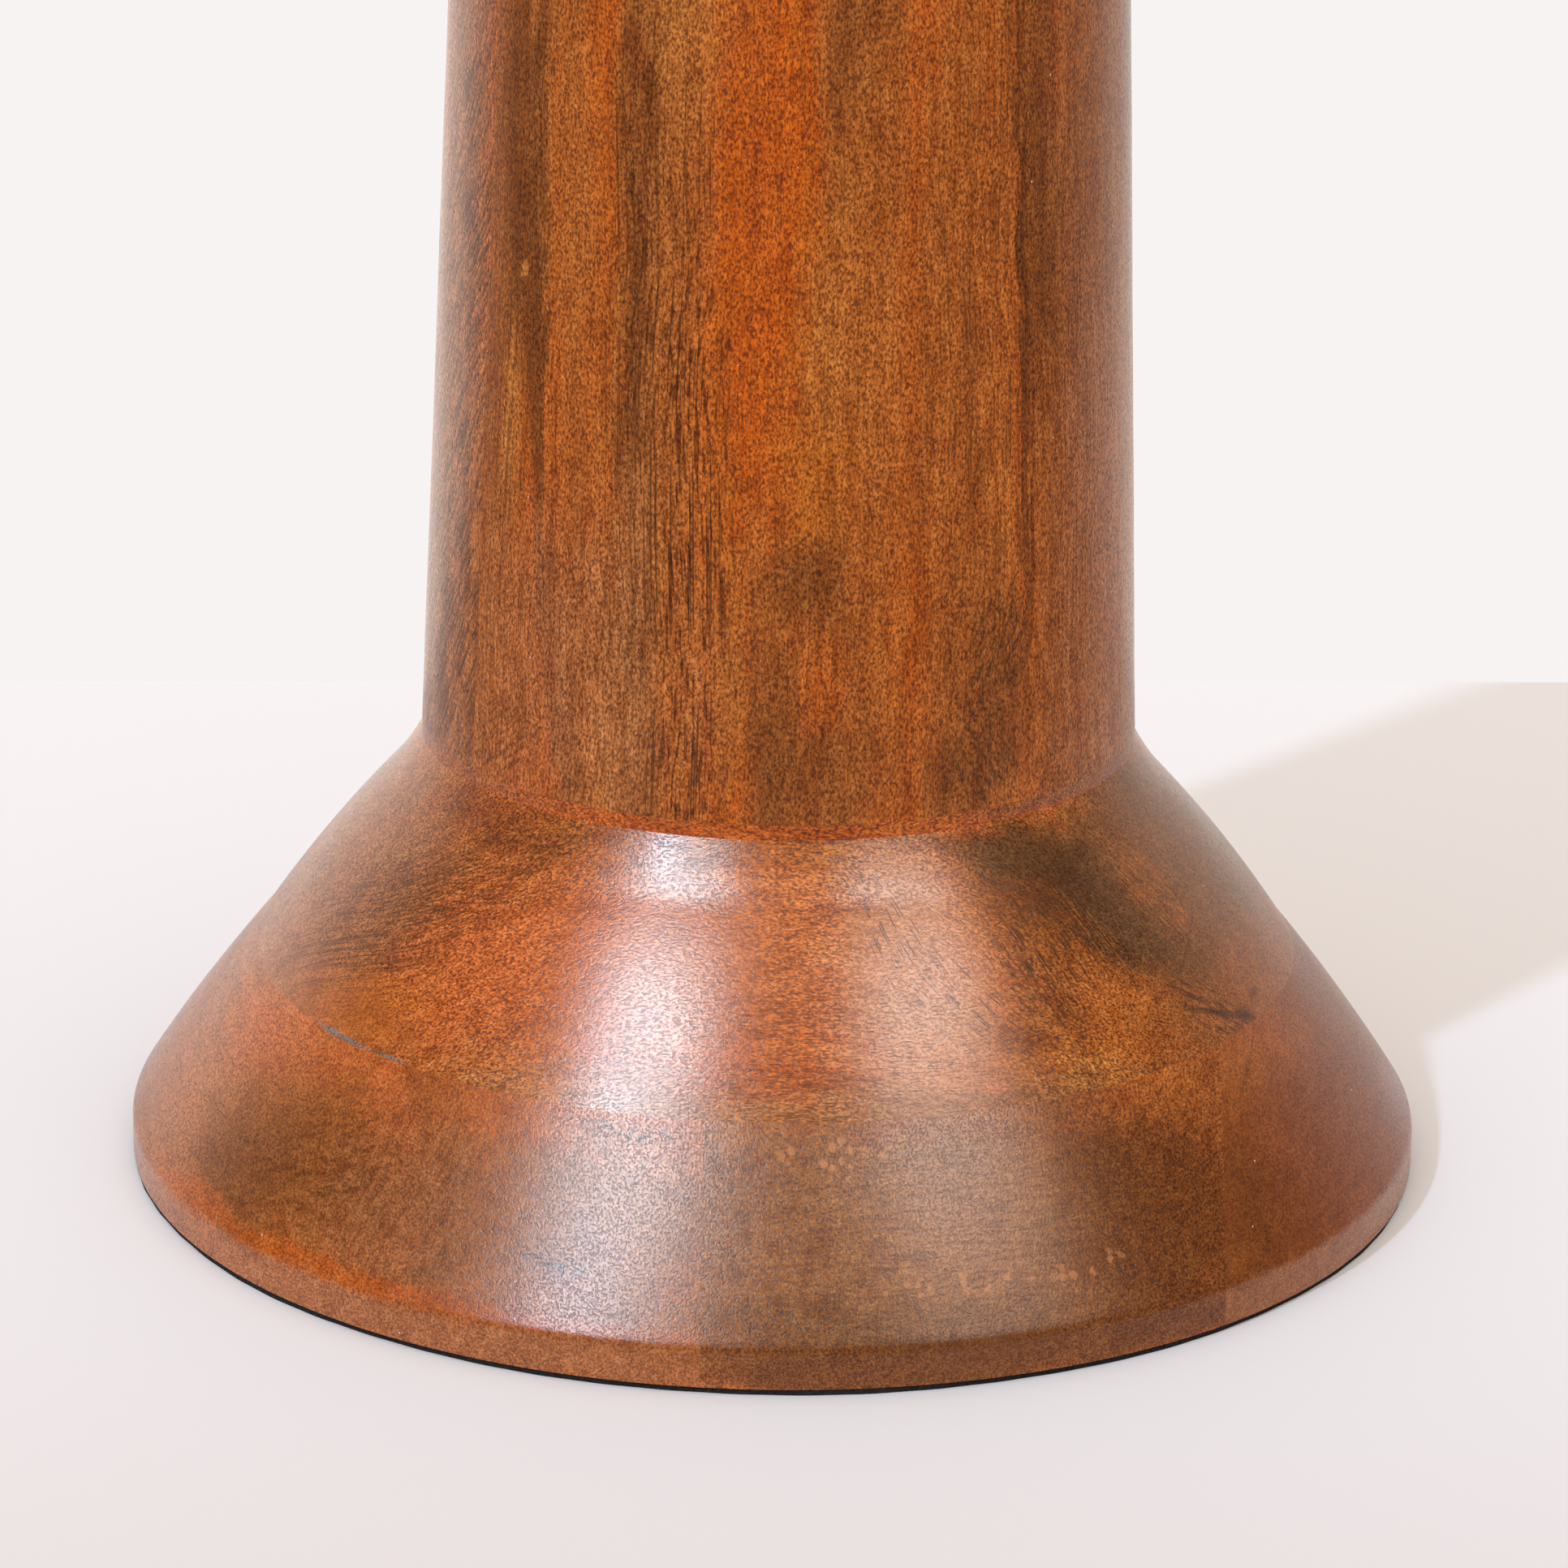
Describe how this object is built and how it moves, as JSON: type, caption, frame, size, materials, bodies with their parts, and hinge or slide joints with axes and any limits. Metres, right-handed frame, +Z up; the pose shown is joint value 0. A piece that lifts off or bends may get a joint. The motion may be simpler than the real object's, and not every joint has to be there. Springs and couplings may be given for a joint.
{
  "type": "candle stand",
  "caption": "Turned wooden pillar candle stand with a cone-shaped base, a tapered column and a flared cup holding a lift-out metal drip pan around a fixed spike.",
  "frame": {"origin": "centre of the pad's underside, on the floor", "axes": "+Z up along the column's axis, -Y towards the pictured front, +X to the right of that view"},
  "size_m": [0.15, 0.15, 0.3086],
  "materials": {
    "base_wood": "stained mango-like hardwood under satin lacquer",
    "column_wood": "stained mango-like hardwood under satin lacquer",
    "cup_wood": "stained mango-like hardwood under satin lacquer",
    "pad_felt": "thin black felt sheet, cut by hand",
    "pan_brass": "spun and turned, aged satin",
    "fastener_steel": "zinc plated"
  },
  "bodies": {
    "stand": {"base_upper_board": "base_wood", "base_left_strip": "base_wood", "base_middle_strip": "base_wood", "base_right_strip": "base_wood", "base_pad": "pad_felt", "column_front_half": "column_wood", "column_rear_half": "column_wood", "candle_cup": "cup_wood", "candle_spike": "pan_brass", "spike_washer": "fastener_steel", "tie_rod": "fastener_steel", "rod_washer": "fastener_steel", "lock_washer": "fastener_steel", "rod_nut": "fastener_steel"},
    "pan": {"drip_pan": "pan_brass"}
  },
  "joints": [
    {"name": "pan_lift", "type": "slide", "parent": "stand", "child": "pan", "axis": [0, 0, 1], "range_m": [0, 0.05]}
  ]
}
